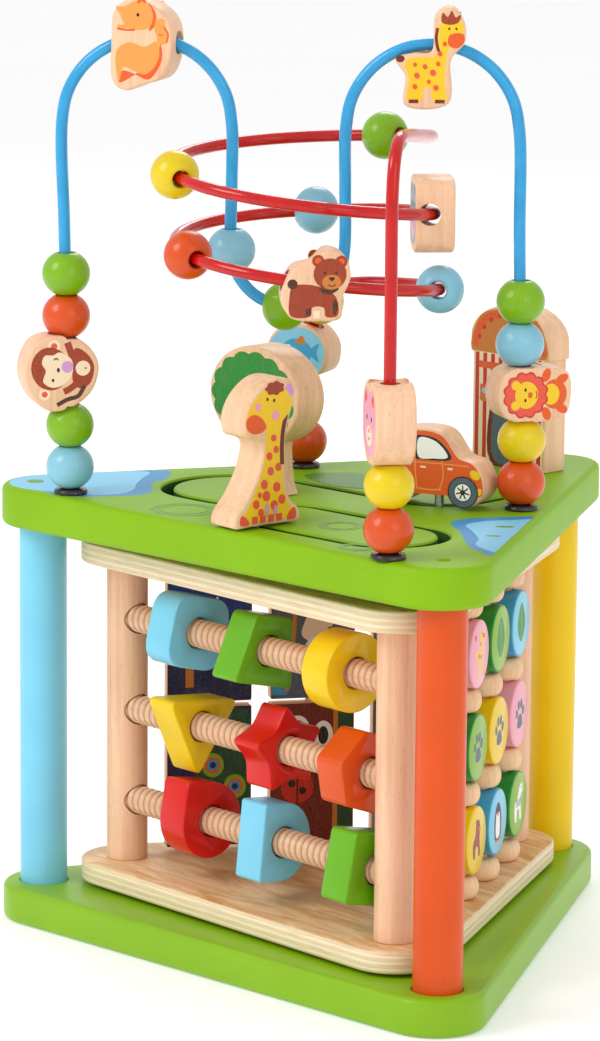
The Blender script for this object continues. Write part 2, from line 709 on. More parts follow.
def build_stand():
    outline = rounded_triangle(BOARD_INRADIUS, BOARD_CORNER)
    base = board_piece("base_board", outline, 0, BASE_TOP, 3.2, BOARD_LIME)
    socket = [(POST_RADIUS + 0.35, BASE_TOP - 3), (POST_RADIUS + 0.35, BASE_TOP - 0.5)]
    socket.append((POST_RADIUS + 1.6, BASE_TOP + 0.7))
    sockets = [turned("cutter", socket, BLACK, moved(*polar(a, POST_RING), 0)) for a in CORNERS.values()]
    settle(carve(base, *sockets), "stand", "lime_paint", "base_plate")
    slots = {"blue": "sky_paint", "orange": "orange_paint", "yellow": "yellow_paint"}
    for name, angle in CORNERS.items():
        low, high = BASE_TOP - 3, TOP_UNDER + 0.5
        profile = [(POST_RADIUS - 0.6, low), (POST_RADIUS, low + 0.6), (POST_RADIUS, high)]
        post = turned(
            "round_post_" + name, profile, POST_PAINTS[name], moved(*polar(angle, POST_RING), 0), 64
        )
        settle(post, "stand", slots[name], "post_" + name)
    for name, angle in CORNERS.items():
        x, y = polar(angle, POST_RING)
        foot = turned("foot_screw_" + name, screw_profile(3.4), STEEL, moved(x, y, 0.05), 28)
        settle(foot, "stand", "lime_paint")


def screw_profile(radius):
    """A countersunk screw's dished head, its open side up."""
    return [(radius, 0), (radius, 0.35), (radius * 0.86, 0.6), (radius * 0.45, 0.62), (radius * 0.36, 0.2)]


def slot_line(step=3.0):
    """The centre line of the slot that the giraffe and the car ride in."""
    line = []

    def straight(x0, y0, x1, y1):
        count = max(1, round(math.hypot(x1 - x0, y1 - y0) / step))
        line.extend((x0 + (x1 - x0) * i / count, y0 + (y1 - y0) * i / count) for i in range(count))

    def bend(x, y, radius, start, end):
        count = max(2, round(abs(end - start) * RAD * radius / step))
        for i in range(count):
            a = (start + (end - start) * i / count) * RAD
            line.append((x + radius * math.cos(a), y + radius * math.sin(a)))

    straight(9, -85, 82, -85)
    bend(82, -57, 28, -90, 90)
    straight(82, -29, 8, -29)
    for i in range(14):
        t, u = i / 14, 1 - i / 14
        x = u**3 * 8 - 3 * u * u * t * 18 - 3 * u * t * t * 18 - t**3 * 44
        y = -(u**3 * 29 + 3 * u * u * t * 29 + 3 * u * t * t * 57 + t**3 * 57)
        line.append((x, y))
    straight(-44, -57, -60, -57)
    bend(-60, -21, 36, -90, -270)
    straight(-60, 15, 30, 15)
    bend(30, 39, 24, -90, 0)
    straight(54, 39, 54, 62)
    line.append((54, 62))
    return line


def slot_cutters(profile):
    """The cutters for the slot: a band and its two round ends, a half width at each height."""
    line = slot_line()
    rings = []
    for half, z in profile:
        left, right = [], []
        for i, (x, y) in enumerate(line):
            before, after = line[max(i - 1, 0)], line[min(i + 1, len(line) - 1)]
            normal = Vector((before[1] - after[1], after[0] - before[0])).normalized()
            left.append((x + normal.x * half, y + normal.y * half, z))
            right.append((x - normal.x * half, y - normal.y * half, z))
        rings.append(right + left[::-1])
    band = piece_from("cutter", *loft(rings), BLACK)
    return [band] + [turned("cutter", profile, BLACK, moved(*end, 0), 32) for end in (line[0], line[-1])]


def shade_grooves(top):
    """Marks the walls of the slot and the hidden hollows, where the paint lies thick and dark."""
    mark = top.data.color_attributes.new(name="groove", type="FLOAT_COLOR", domain="CORNER")
    for face in top.data.polygons:
        x, y, z = face.center / MM
        reach = max(x * math.cos(a * RAD) + y * math.sin(a * RAD) for a in EDGE_DIRECTIONS)
        inside = abs(face.normal.z) < 0.3 and reach < BOARD_INRADIUS - 6 and math.hypot(x, y) < 140
        floor = face.normal.z > 0.3 and TOP_UNDER + 1 < z < TOP_FACE - 2
        deep = 1.0 if (inside or floor) and z < TOP_FACE - 0.9 else 0.0
        for corner in face.loop_indices:
            mark.data[corner].color = (deep, deep, deep, 1)


def build_top():
    outline = rounded_triangle(BOARD_INRADIUS, BOARD_CORNER)
    top = board_piece("top_board", outline, TOP_UNDER, TOP_FACE, 3.4, SLOTTED_LIME)
    upper = slot_cutters([
        (3.2, TOP_FACE - 9),
        (3.2, TOP_FACE - 1.1),
        (3.6, TOP_FACE - 0.4),
        (4.6, TOP_FACE + 0.4),
    ])
    under = slot_cutters([(6.5, TOP_FACE - 15), (6.5, TOP_FACE - 8)])
    dimple = [(2.6, TOP_FACE - 1.6), (3.3, TOP_FACE - 0.4), (4.2, TOP_FACE + 0.4)]
    dimples = [turned("cutter", dimple, BLACK, moved(*polar(a, POST_RING), 0), 24) for a in CORNERS.values()]
    carve(top, *upper, *under, *dimples)
    shade_grooves(top)
    settle(top, "stand", "lime_paint", "top_plate")
    print_on("pond_print", pond_shapes(), TOP_FACE, AS_DRAWN, "stand", "lime_paint", BOARD_INK)


def pond_shapes():
    """Two ponds that run to the board's edges, lily rings, and the dark patch by the tree."""
    bend = (polar(a, BOARD_CORNER - PRINT_CLEAR) for a in range(270, 149, -12))
    corner = [(x - 137.2, y - 79.2) for x, y in bend]
    left_shore = [
        (-142, -50), (-122, -13), (-114, -16), (-104, -30), (-102, -39), (-93, -51), (-83, -60),
        (-81, -71), (-87, -82), (-100, -98), (-118, -101), (-136, -82),
    ]
    left_water = corner + [
        (-147, -51), (-133, -27), (-124, -22), (-114, -37), (-104, -51), (-93, -64), (-90, -76),
        (-97, -88), (-112, -94), (-124, -100),
    ]
    right_shore = [
        (80, -8), (81, 8), (90, 21), (100, 33), (117, 3), (132, -24), (147, -50), (151, -58), (141, -54),
        (131, -50), (115, -37), (99, -23),
    ]
    right_water = [
        (90, -8), (91, 7), (98, 18), (104, 27), (117, 3), (132, -24), (147, -50), (140, -48.5),
        (128, -43), (119, -31), (103, -18),
    ]
    areas = (("shore", left_shore), ("water", left_water), ("shore", right_shore), ("water", right_water))
    shapes = [(tint, within_top(soft(points, 6))) for tint, points in areas]
    shapes += [
        ("ring", oval(107, 2, 5, 2.4, 40)),
        ("ring", oval(119, -20, 4, 2.0, 40)),
        ("ring", oval(-146, -84, 4.6)),
    ]
    for x, y, rx, ry, turn in ((-36, -83, 18, 17, 50), (49, -56, 11.5, 12, 48), (92, -90, 10, 9, 40)):
        shapes.append(("ring", scalloped_ring(x, y, rx, ry, 2.4)))
        shapes.append(("ring", ring_shape(x, y, rx * 0.72, ry * 0.7, turn, 0.9)))
    shapes.append(("olive", soft([(-62, 33), (-46, 56), (-26, 46), (-10, 40), (-16, 24), (-40, 22)], 5)))
    return shapes


def within_top(points):
    """Keeps a print on the flat of the top board, clear of its rounded edge."""
    kept = []
    for x, y in points:
        for a in EDGE_DIRECTIONS:
            over = x * math.cos(a * RAD) + y * math.sin(a * RAD) - BOARD_INRADIUS + PRINT_CLEAR
            if over > 0:
                x, y = x - over * math.cos(a * RAD), y - over * math.sin(a * RAD)
        kept.append((x, y))
    return kept


def scalloped_ring(x, y, rx, ry, width):
    outer = scalloped(x, y, rx, ry, 9, 0.08, 72)
    inner = [(x + (u - x) * (1 - width / rx), y + (v - y) * (1 - width / ry)) for u, v in outer]
    return outer + outer[:1] + inner[:1] + inner[::-1]


def ring_shape(x, y, rx, ry, turn, width):
    """An open ring drawn as one brush stroke that meets itself."""
    outer = oval(x, y, rx, ry, turn, 40)
    inner = oval(x, y, rx - width, ry - width, turn, 40)
    return outer + outer[:1] + inner[:1] + inner[::-1]


# ---------------------------------------------------------------- wires and beads
WIRE_FOOT = TOP_FACE - 9  # how deep the wires stand in the board
ALONG = (RIGHT_FOOT - LEFT_FOOT).normalized()
BLUE_SPAN = (RIGHT_FOOT - LEFT_FOOT).length
LEAN = math.tan(1.3 * RAD)
UP = Vector((0, 0, 1))

# the coil of the red wire: it sinks by the pitch each turn, tilts a little and drifts outwards
COIL_X, COIL_Y, COIL_RADIUS, COIL_HEADING = -11, -23.1, 67, 44
COIL_TOP, COIL_PITCH, COIL_TILT, COIL_DRIFT, COIL_MIDDLE = 434.4, 38.5, 2, 3.3, 450


def azimuth(angle):
    return Vector((math.cos(angle * RAD), math.sin(angle * RAD), 0))


def on_blue(s, z):
    """A place in the blue wire's upright plane: how far along from its left foot, and how high."""
    return LEFT_FOOT + ALONG * s + UP * z


def arc_points(centre, z, start, end, count):
    place, radius = centre
    turns = [(start + (end - start) * i / count) * RAD for i in range(count + 1)]
    return [on_blue(place + radius * math.cos(a), z + radius * math.sin(a)) for a in turns]


def on_spiral(angle):
    """A place on the red wire's coil, by how far round it is from its start."""
    across = azimuth(COIL_HEADING)
    toward = Vector((across.y, -across.x, 0))
    height = COIL_TOP - COIL_PITCH * angle / 360 - COIL_TILT * math.sin(angle * RAD)
    reach = COIL_RADIUS * math.sin(angle * RAD) + COIL_DRIFT * (angle - COIL_MIDDLE) / 360
    return Vector((COIL_X, COIL_Y, height)) + across * reach + toward * COIL_RADIUS * math.cos(angle * RAD)


def spiral_heading(angle):
    return (on_spiral(angle + 1) - on_spiral(angle - 1)).normalized()


def blue_line():
    line = [on_blue(0, WIRE_FOOT), on_blue(-0.6, 262), on_blue(-1.7, 310), on_blue(-3.3, 375)]
    line += arc_points(LEFT_ARCH, ARCH_Z, 178, 0, 8) + [on_blue(83.5, 398)]
    line += arc_points(DIP, DIP_Z, 180, 360, 7) + [on_blue(141.8, 398)]
    line += arc_points(RIGHT_ARCH, ARCH_Z, 180, 2, 8)
    line += [on_blue(231, 375), on_blue(232.6, 310), on_blue(233.7, 262), on_blue(BLUE_SPAN, WIRE_FOOT)]
    return line


def red_line():
    rise = [
        (121.5, -99, WIRE_FOOT),
        (121.3, -99.1, 300),
        (121, -98.8, 370),
        (120.6, -98.2, 412),
        (118.6, -94.6, 428),
        (112.5, -85.5, 435.5),
        (99, -65, 435.5),
        (78, -33, 431.5),
        (56, -0.5, 427),
    ]
    fall = [(-53, 43, 335.5), (-64, 47.5, 327.5), (-72.5, 50, 315), (-77, 50.5, 300), (-78.8, 49.6, 280),
            (-78.9, 49.1, 255), (-78.9, 49.1, WIRE_FOOT)]
    return rise + [on_spiral(90 + 26.2 * i) for i in range(31)] + fall


BEAD_PROFILE_STEPS = 9


def bead(name, position, direction, tint, body, *nodes):
    """A round bead with a drilled hole, its edge softly broken."""
    bore = 4.3
    start = math.acos((bore + 0.9) / BEAD_RADIUS)
    curve = [(bore, -BEAD_HALF + 1.2), (bore + 0.25, -BEAD_HALF + 0.35)]
    for i in range(-BEAD_PROFILE_STEPS, BEAD_PROFILE_STEPS + 1):
        a = start * i / BEAD_PROFILE_STEPS
        squash = BEAD_HALF / (BEAD_RADIUS * math.sin(start))
        curve.append((BEAD_RADIUS * math.cos(a), BEAD_RADIUS * math.sin(a) * squash))
    curve += [(bore + 0.25, BEAD_HALF - 0.35), (bore, BEAD_HALF - 1.2)]
    made = turned(
        name, curve, BEAD_PAINTS[tint], pointing(position, direction), 48, closed=True, smooth_below=60
    )
    settle(made, body, tint + "_paint", *nodes)


def collar(name, foot):
    profile = [(WIRE_RADIUS - 0.1, 0), (8.2, 0), (8.7, 0.5), (8.7, 1.7), (8.2, 2.4), (7.2, 2.7), (5.2, 2.7),
               (4.4, 3.0), (WIRE_RADIUS - 0.1, 3.0)]
    made = turned(name, profile, BLACK, moved(foot.x, foot.y, TOP_FACE + 0.05), 40, closed=True)
    settle(made, "stand", "red_wire_coat" if foot.x > 100 or foot.y > 45 else "blue_wire_coat")


STACK_FOOT = TOP_FACE + 2.7 + 2 * CLEAR
BLOCK_FOOT = STACK_FOOT + 4 * BEAD_HALF + CLEAR
MONKEY_HEIGHT, LION_HEIGHT, CAT_HEIGHT = 34.6, 27, 38.6


def left_leg(z):
    return on_blue(-0.6 - (z - 262) * LEAN, z)


def right_leg(z):
    return on_blue(BLUE_SPAN - 0.6 - (z - 262) * LEAN, z)


def build_wires():
    blue = swept("bead_wire_blue", flowing(blue_line(), 300), WIRE_RADIUS, WIRE_BLUE)
    settle(blue, "stand", "blue_wire_coat", "wire_blue")
    red = swept("bead_wire_red", flowing(red_line(), 420), WIRE_RADIUS, WIRE_RED)
    settle(red, "stand", "red_wire_coat", "wire_red")
    feet = {"left": LEFT_FOOT, "right": RIGHT_FOOT, "front": FRONT_FOOT, "back": BACK_FOOT}
    for name, foot in feet.items():
        collar("collar_" + name, foot)


def build_beads():
    monkey_top = BLOCK_FOOT + MONKEY_HEIGHT + CLEAR
    lion_top = BLOCK_FOOT + LION_HEIGHT + CLEAR
    stacks = (
        ("left_beads_low", LEFT_FOOT - ALONG * 0.4, STACK_FOOT, ("pale_blue", "green")),
        ("right_beads_low", RIGHT_FOOT - ALONG * 0.4, STACK_FOOT, ("orange", "yellow")),
        ("front_beads", Vector((121.4, -99, 0)), STACK_FOOT, ("orange", "yellow")),
        ("left_beads_high", left_leg(monkey_top + 2 * BEAD_HALF), monkey_top, ("orange", "green")),
        ("right_beads_high", right_leg(lion_top + 2 * BEAD_HALF), lion_top, ("pale_blue", "green")),
    )
    for body, leg, bottom, tints in stacks:
        for i, tint in enumerate(tints):
            middle = Vector((leg.x, leg.y, bottom + BEAD_HALF * (2 * i + 1)))
            bead(f"{body}_{tint}", middle, UP, tint, body, body)
    on_coil = (
        ("green", "green", 138),
        ("yellow", "yellow", 289),
        ("pale_blue", "blue", 535),
        ("orange", "orange", 657),
    )
    for tint, name, angle in on_coil:
        body = "spiral_bead_" + name
        bead("coil_bead_" + name, on_spiral(angle), spiral_heading(angle), tint, body, body)
    bead("coil_bead_low", on_spiral(803), spiral_heading(803), "pale_blue", "stand")
    bead("dip_bead_green", on_blue(111.4, DIP_Z - DIP[1]), ALONG, "green", "stand")
    bead("leg_bead_blue", on_blue(83.5, 364), UP, "pale_blue", "stand")
    bead("back_bead_orange", BACK_FOOT + UP * (STACK_FOOT + BEAD_HALF), UP, "orange", "stand")
    bead("bend_bead_yellow", (-66.5, 48.2, 325.6), Vector((10.5, -3.6, 11)).normalized(), "yellow", "stand")


# ---------------------------------------------------------------- animal blocks
BLOCK_OUTLINES = {
    "squirrel": [
        (-15, -20), (-16, 0), (-14, 17), (-4, 23), (7, 19), (15, 11), (16, -6), (11, -17), (0, -21),
        (-8, -24),
    ],
    "giraffe": [
        (-14, -23), (-14, -8), (-19, 0), (-10, 3), (-1, 4), (1, 22), (9, 26), (15, 19), (16, 9), (9, 0),
        (8, -22),
    ],
    "monkey": [
        (-19, 2), (-13, 16), (-1, 19.5), (12, 16), (20, 5), (17, -9), (6, -18), (-6, -19.5), (-15, -12),
    ],
    "bear": [
        (-17, -4), (-11, 9), (-2, 12), (5, 18), (14, 15), (17, 5), (13, -6), (12, -16), (0, -17.5),
        (-13, -15.5),
    ],
    "hippo": [(-16, -15), (-17, 0), (-15, 17), (0, 19.5), (15, 17), (17, 0), (16, -15), (0, -19.5)],
    "lion": [
        (-20, 0), (-16, 11), (-5, 14.5), (7, 13.8), (18, 11), (20, 0), (17, -11), (6, -13.8), (-6, -14.5),
        (-16, -11),
    ],
    "cat": [
        (-14, -13), (-18, -3), (-16, 14), (-9, 20), (9, 20), (16, 14), (18, -3), (14, -13), (6, -19.5),
        (-6, -19.5),
    ],
    "fish": [(-16, -9), (-17, 4), (-9, 13), (8, 13.5), (17, 4), (15, -10), (4, -14), (-8, -13.5)],
}


def face_dots(x, y, apart, size=0.55, turn=0):
    dx, dy = apart / 2 * math.cos(turn * RAD), apart / 2 * math.sin(turn * RAD)
    return [
        ("black", oval(x - dx, y - dy, size, size * 1.3, turn, 12)),
        ("black", oval(x + dx, y + dy, size, size * 1.3, turn, 12)),
    ]


def squirrel_print():
    """Head and paws above, the big tail curled below the wire."""
    return [
        ("orange", soft([
            (-11.5, -20), (-10, -14), (-4, -15), (4, -18), (9, -13), (11.6, -6), (10.4, 0.6), (9, -6),
            (2, -12),
        ], 5)),
        ("apricot", soft([
            (-11.5, -19), (-13.4, -11), (-12.4, -3), (-6, 0.6), (2, -1.4), (8.6, 1.4), (10, -5), (7, -12),
            (2, -15.4), (-4, -13.6), (-9, -12),
        ], 5)),
        ("orange", soft([(4.6, 20.6), (8.2, 15), (7.4, 9), (4.4, 6.6), (6, 13)], 4)),
        ("apricot", soft([
            (-11, 14.6), (-13.2, 18.4), (-8.6, 18.6), (-3, 21.4), (4, 20.4), (6.6, 14), (4.6, 8.4),
            (-1, 7), (-7, 8), (-9.4, 11),
        ], 5)),
        ("apricot", stroke([(-7, 9), (-10.6, 8.2), (-12.4, 8.6)], 2.0)),
        ("orange", stroke([(-12.6, 7.4), (-8, 6.8), (-3, 7)], 1.0)),
        ("orange", stroke([(-1.6, 20.6), (0.5, 22.6), (2.6, 21)], 1.6)),
        ("apricot", soft([
            (8.4, 12.4), (12.6, 12.6), (13, 8.4), (14.4, 5), (13.4, 0.6), (9.4, 0.4), (8.6, 4.4),
            (7.4, 8),
        ], 5)),
        ("orange", stroke([(12.4, 9), (14.6, 5.2), (13.8, 1)], 0.9)),
        ("orange", stroke([(9.6, 5), (12, 4.6)], 0.7)),
        ("black", oval(-1.4, 14.6, 0.8, 0.9)),
    ]


def giraffe_print():
    spots = [
        (-8, -8, 1.4), (-4, -3.5, 1.2), (0, -6.5, 1.5), (-9, -2.5, 1.0), (2.5, -2, 1.1), (3.4, 3, 1.2),
        (5.8, 8, 1.1), (-2, -11, 1.0), (1.6, -14, 1.3), (-9, -13.5, 1.2),
    ]
    spots = [("coral", oval(x, y, r, r * 1.15, 20, 12)) for x, y, r in spots]
    return [
        ("yellow", soft([
            (-12.5, -21), (-12, -10), (-14, -1), (-6, 1.4), (1, 2), (2.5, 10), (3, 17), (9, 22),
            (14.5, 18), (14, 9), (8, 6), (6.5, -2), (6, -12), (6.5, -21), (0.5, -21), (-1.5, -14),
            (-4, -14), (-6, -21),
        ], 5)),
        ("maroon", oval(-16.5, 0.4, 2.2, 1.8)),
        ("orange", soft([(8, 12.4), (15, 13), (15.3, 8.8), (11.5, 5.8), (7.6, 7.6)])),
        ("maroon", stroke([(2, 16), (1.4, 11), (2.2, 6), (3.2, 3.6)], 1.5)),
        ("brown", soft([
            (4, 19), (4.6, 23.6), (7, 21.6), (9, 24.6), (11, 21.4), (13.6, 22.6), (12.4, 18.8), (8, 17.6),
        ])),
        ("maroon", box_shape(-12, -21.8, -7.2, -20)),
        ("maroon", box_shape(1.2, -21.8, 6, -20)),
    ] + spots + face_dots(9.6, 15.6, 3.6, 0.5)


def monkey_print():
    return [
        ("brown", soft([(6, 3), (5.2, 9), (8, 13), (14, 9.6), (17.5, 3), (15, -6), (10, -8), (6.5, -5)])),
        ("brown", stroke([(8, 4), (5.5, 10), (3.4, 16)], 3.6)),
        ("brown", stroke([(9, -5), (4, -8.5), (1.5, -9.6)], 3.4)),
        ("dark_brown", stroke([(12.5, -6.6), (9, -12), (3.5, -13.6), (-2, -16.4)], 2.2)),
        ("cream", oval(11.6, 2.4, 3.9)),
        ("black", oval(13, 2.4, 0.5)),
        ("cream", oval(-3.6, 14.2, 3.2)),
        ("coral", oval(-3.6, 14.2, 1.7)),
        ("cream", oval(-8.6, -10.6, 3.0)),
        ("coral", oval(-8.6, -10.6, 1.6)),
        ("brown", oval(-5.6, 2.6, 10, 11.2, 12)),
        ("cream", soft([
            (-8.6, 9.4), (-4, 9.6), (-1, 11), (5.6, 7), (6, 0), (1.6, -5.6), (-4.6, -7.2), (-9.4, -4),
            (-8, 1.6), (-10, 5.4),
        ])),
        ("lilac", oval(3.4, 3.4, 3.1)),
        ("black", oval(-1.4, 1.8, 0.8, 1.2)),
        ("black", oval(-4.2, -3.4, 0.7, 0.9)),
        ("black", stroke([(-3.8, 7), (-2.6, 8), (-1.4, 7)], 0.6)),
    ]


def bear_print():
    return [
        ("brown", soft([
            (-13.6, -6), (-12, 0), (-4, 1), (6, -2), (10, -6), (10.4, -14.5), (4.6, -15), (3.6, -10.6),
            (-2, -10.4), (-3, -14.8), (-12.8, -14.6),
        ], 5)),
        ("dark_brown", oval(-12, 1.2, 2.5)),
        ("dark_brown", box_shape(-5.4, -14.4, -2.8, -11)),
        ("dark_brown", soft([(9, -14.6), (10.6, -9), (9, -6.5), (8, -10)], 4)),
        ("cream", box_shape(-1.6, -15.8, 1.6, -12)),
        ("brown", oval(0.6, 12.8, 3.0)),
        ("orange", oval(0.6, 12.8, 1.6)),
        ("brown", oval(12.2, 12.4, 3.0)),
        ("orange", oval(12.2, 12.4, 1.6)),
        ("dark_brown", soft([(1, -1.4), (6, -4), (11, -1), (6, 0.6)], 4)),
        ("brown", oval(6.6, 6.2, 8.2, 7.8)),
        ("tan", oval(7.4, 2.2, 4.7, 3.7)),
        ("black", soft([(5.9, 4.4), (9, 4.4), (7.5, 2.6)], 3)),
        ("black", stroke([(5.6, 0.9), (7.4, 0.1), (9.4, 1)], 0.5)),
    ] + face_dots(6.9, 6.8, 5.6, 0.5)


def lion_print():
    arms = [
        ("orange", oval(x, y, 3.6, 2.3, turn))
        for x, y, turn in ((6, 9.8, 70), (6.4, -10, -70), (14.5, 7.6, 30), (14.4, -7.4, -30))
    ]
    return arms + [
        ("orange", oval(10.6, 0, 6.6, 7.6)),
        ("yellow", oval(8.6, 0, 4.6, 5.4)),
        ("red", scalloped(-5, 0, 12.4, 12.2, 12)),
        ("coral", scalloped(-5, 0, 11.4, 11.2, 12)),
        ("yellow", oval(-10.4, 5.2, 2.4)),
        ("yellow", oval(-10.4, -5.2, 2.4)),
        ("yellow", oval(-4.6, 0, 6.2, 7.0)),
        ("orange", oval(-2.6, 0, 1.3, 1.6)),
        ("maroon", stroke([(0.4, 2), (1, 0), (0.4, -2)], 0.5)),
        ("black", oval(-5.2, 2.7, 0.6, 0.9)),
        ("black", oval(-5.2, -2.7, 0.6, 0.9)),
    ]


def cat_print():
    return [
        ("pink", soft([
            (-13, -11), (-16, -2), (-14, 12), (-8, 17), (0, 15), (8, 17), (14, 12), (16, -2), (12, -12),
            (0, -16),
        ])),
        ("coral", soft([(-11, 9), (-10, 15), (-5.5, 12)], 4)),
        ("coral", soft([(11, 9), (10, 15), (5.5, 12)], 4)),
        ("cream", oval(0, -6, 7, 5)),
        ("coral", oval(0, -3.4, 1.6, 1.1)),
        ("black", stroke([(-2.4, -6.4), (0, -7.8), (2.4, -6.4)], 0.6)),
    ] + face_dots(0, 2.6, 11, 1.0)


def fish_print():
    return [
        ("sky", soft([
            (-15, -8), (-15.5, 4), (-8, 11.6), (7, 12), (15.5, 4), (13.5, -9), (3, -12.4), (-8, -12),
        ])),
        ("blue", soft([(-10, 0), (-3, 6.6), (6, 5), (9, 0), (6, -5.4), (-3, -6.6)])),
        ("blue", soft([(7, 0), (13, 5), (11.6, 0), (13, -5)], 4)),
        ("tan", soft([(-1, 5), (3, 8.6), (5, 4.4)], 4)),
        ("orange", oval(2, -3, 2.4, 1.4, 20)),
        ("white", oval(-5, 1.8, 1.8)),
        ("black", oval(-5.3, 1.8, 0.8)),
    ]


def hippo_print():
    return [
        ("grey", soft([
            (-12, -13), (-14, 0), (-12, 12), (0, 15.5), (12, 12), (14, 0), (12, -13), (0, -15),
        ])),
        ("steel", oval(-8, 13, 2.8)),
        ("steel", oval(8, 13, 2.8)),
        ("pink", oval(0, -6, 10, 6.4)),
        ("maroon", oval(-4, -4.4, 1, 1.5)),
        ("maroon", oval(4, -4.4, 1, 1.5)),
    ] + face_dots(0, 5.4, 9, 1.0)


PRINTS = {"squirrel": squirrel_print, "giraffe": giraffe_print, "monkey": monkey_print, "lion": lion_print,
          "cat": cat_print, "fish": fish_print, "bear": bear_print, "hippo": hippo_print}


def animal_block(animal, facing, centre, through, direction, bore=5.0, seat=0.0):
    """A cut-out block with a printed face on both sides and the hole that its wire runs through."""
    place = standing(centre, facing - 90)
    outline = soft(BLOCK_OUTLINES[animal], 7)
    half = BLOCK_THICKNESS / 2
    block = board_piece(animal + "_cut_out", outline, -half, half, 1.4, BLOCK_BEECH, place, steps=4)
    cutters = [flared_bore(bore, 30, pointing(through, direction), 0.01)]
    for side in (1, -1):
        if seat:
            flat_at = Vector(through) + UP * side * (seat / 2 + 15)
            cutters.append(turned("cutter", [(10.5, -15), (10.5, 15)], BLACK, moved(*flat_at), 40))
    carve(block, *cutters)
    body = animal + "_block"
    settle(block, body, "printed_beech", body)
    shapes = PRINTS[animal]()
    print_on(animal + "_print", shapes, half, place, body, "printed_beech")
    turned_round = standing(centre, facing + 90)
    print_on(animal + "_print_back", flipped(shapes), half, turned_round, body, "printed_beech")


def build_blocks():
    for animal, arch, facing, lower in (("squirrel", LEFT_ARCH, 27, 2), ("giraffe", RIGHT_ARCH, 42, 7)):
        crown = on_blue(arch[0], ARCH_Z + arch[1])
        animal_block(animal, facing, crown - UP * lower, crown - UP * 1.8, ALONG, bore=6.0)
    monkey = left_leg(BLOCK_FOOT + MONKEY_HEIGHT / 2)
    animal_block("monkey", 60, monkey - azimuth(60) * 6, monkey, UP, seat=MONKEY_HEIGHT)
    lion = right_leg(BLOCK_FOOT + LION_HEIGHT / 2)
    animal_block("lion", 62, lion + azimuth(62) * 4, lion, UP, seat=LION_HEIGHT)
    cat = Vector((121.3, -99, BLOCK_FOOT + CAT_HEIGHT / 2))
    animal_block("cat", -36, cat, cat, UP, seat=CAT_HEIGHT)
    fish = Vector((-76.5, 50.2, 298.5))
    animal_block("fish", 20, fish - azimuth(20) * 3, fish, Vector((5.2, 0.5, 27)).normalized(), bore=5.8)
    for animal, angle, facing in (("bear", 723, 50), ("hippo", 444, -42)):
        at = on_spiral(angle)
        inward = (Vector((COIL_X, COIL_Y, at.z)) - at).normalized()
        animal_block(animal, facing, at + inward, at + inward, spiral_heading(angle), bore=5.6)


# ---------------------------------------------------------------- figures on the top board
def tree_shapes():
    crown = scalloped(-0.5, 51.6, 30, 23.6, 15, 0.07, 150)
    return [
        ("maroon", soft([(-11, 2), (-8.4, 12), (-7.6, 28), (7.6, 28), (8.4, 12), (11, 2), (0, 1.8)], 5)),
        ("dark_brown", stroke([(-3, 3), (-2, 15), (-2.6, 29)], 0.9)),
        ("dark_brown", stroke([(3, 4), (2.4, 16), (3.2, 28)], 0.8)),
        ("leaf", crown),
    ]


def giraffe_shapes():
    body = [
        (-16.6, 3.4), (-11, 12.6), (-5.2, 24), (-1.6, 37), (-1, 48), (9, 52), (9, 38), (9.6, 22),
        (12.4, 12), (16.6, 4), (0, 2.4),
    ]
    spots = [
        (0.8, 35, 1.9), (5, 38, 1.7), (6.6, 29, 1.9), (-2.4, 21, 2.2), (1.6, 27.4, 2.0), (5.6, 19, 2.3),
        (-1, 15, 2.4), (9, 12.4, 2.2), (-7.6, 11.4, 2.1), (4, 10, 2.2), (-4.5, 7, 1.8), (3.4, 44, 1.6),
        (-5.4, 16, 1.3),
    ]
    spots = [("coral", oval(x, y, r, r * 1.12, 15, 14)) for x, y, r in spots]
    hooves = [("coral", soft([(-17.8, 2), (-17, 6.6), (-14, 5.2), (-12, 1.9)], 4))]
    hooves.append(("coral", soft([(17.8, 2), (17.2, 7.4), (14, 5.6), (12.4, 1.9)], 4)))
    hooves += [("coral", box_shape(x - 1.7, 1.8, x + 1.7, 5.4)) for x in (-8.4, -3.4, 2, 7.2)]
    toes = [
        ("lilac", oval(-0.7, 8.2, 1.1, 3.0)),
        ("lilac", oval(4.6, 7.4, 1.0, 2.6)),
    ]
    drawn = [
        ("yellow", soft(body, 5)),
        ("maroon", stroke([(9.0, 30), (8.8, 40), (9.6, 48), (11.4, 55)], 2.6)),
        ("lilac", soft([(8, 66), (14, 70.6), (16, 65.6), (11, 62)], 4)),
        ("yellow", soft([
            (-13, 58), (-6, 66.5), (3, 70.8), (11, 68), (15, 60), (10.6, 53.4), (4, 49), (-5, 48.4),
            (-12, 50),
        ], 5)),
        ("brown", scalloped(4, 69, 6.4, 3.6, 7, 0.2, 60)),
        ("orange", soft([
            (-14, 54.5), (-9.4, 57), (-3.6, 54), (-1.4, 49.6), (-5, 47.2), (-10.4, 47.4), (-13.6, 50),
        ], 5)),
        ("pink", oval(-6.6, 60.6, 2.1)),
        ("pink", oval(4.4, 55.4, 2.4)),
        ("coral", stroke([(-11, 50.6), (-7.4, 49.2), (-3.6, 51)], 0.6)),
    ]
    return drawn + face_dots(1.4, 63.4, 4.4, 0.7, -12) + spots + hooves + toes


def wheel_shapes(x, y, spokes=7):
    """Tyre, rim, a pale disc and dark spokes about the hub."""
    rings = (("black", 8.3), ("steel", 7.7), ("black", 4.9), ("white", 4.4))
    shapes = [(tint, oval(x, y, radius)) for tint, radius in rings]
    for i in range(spokes):
        a = 2 * math.pi * i / spokes
        c, s = math.cos(a), math.sin(a)
        spoke = [(x + u * c - v * s, y + u * s + v * c) for u, v in box_shape(-0.35, 1.2, 0.35, 3.7)]
        shapes.append(("black", spoke))
    return shapes + [("black", oval(x, y, 1.3))]


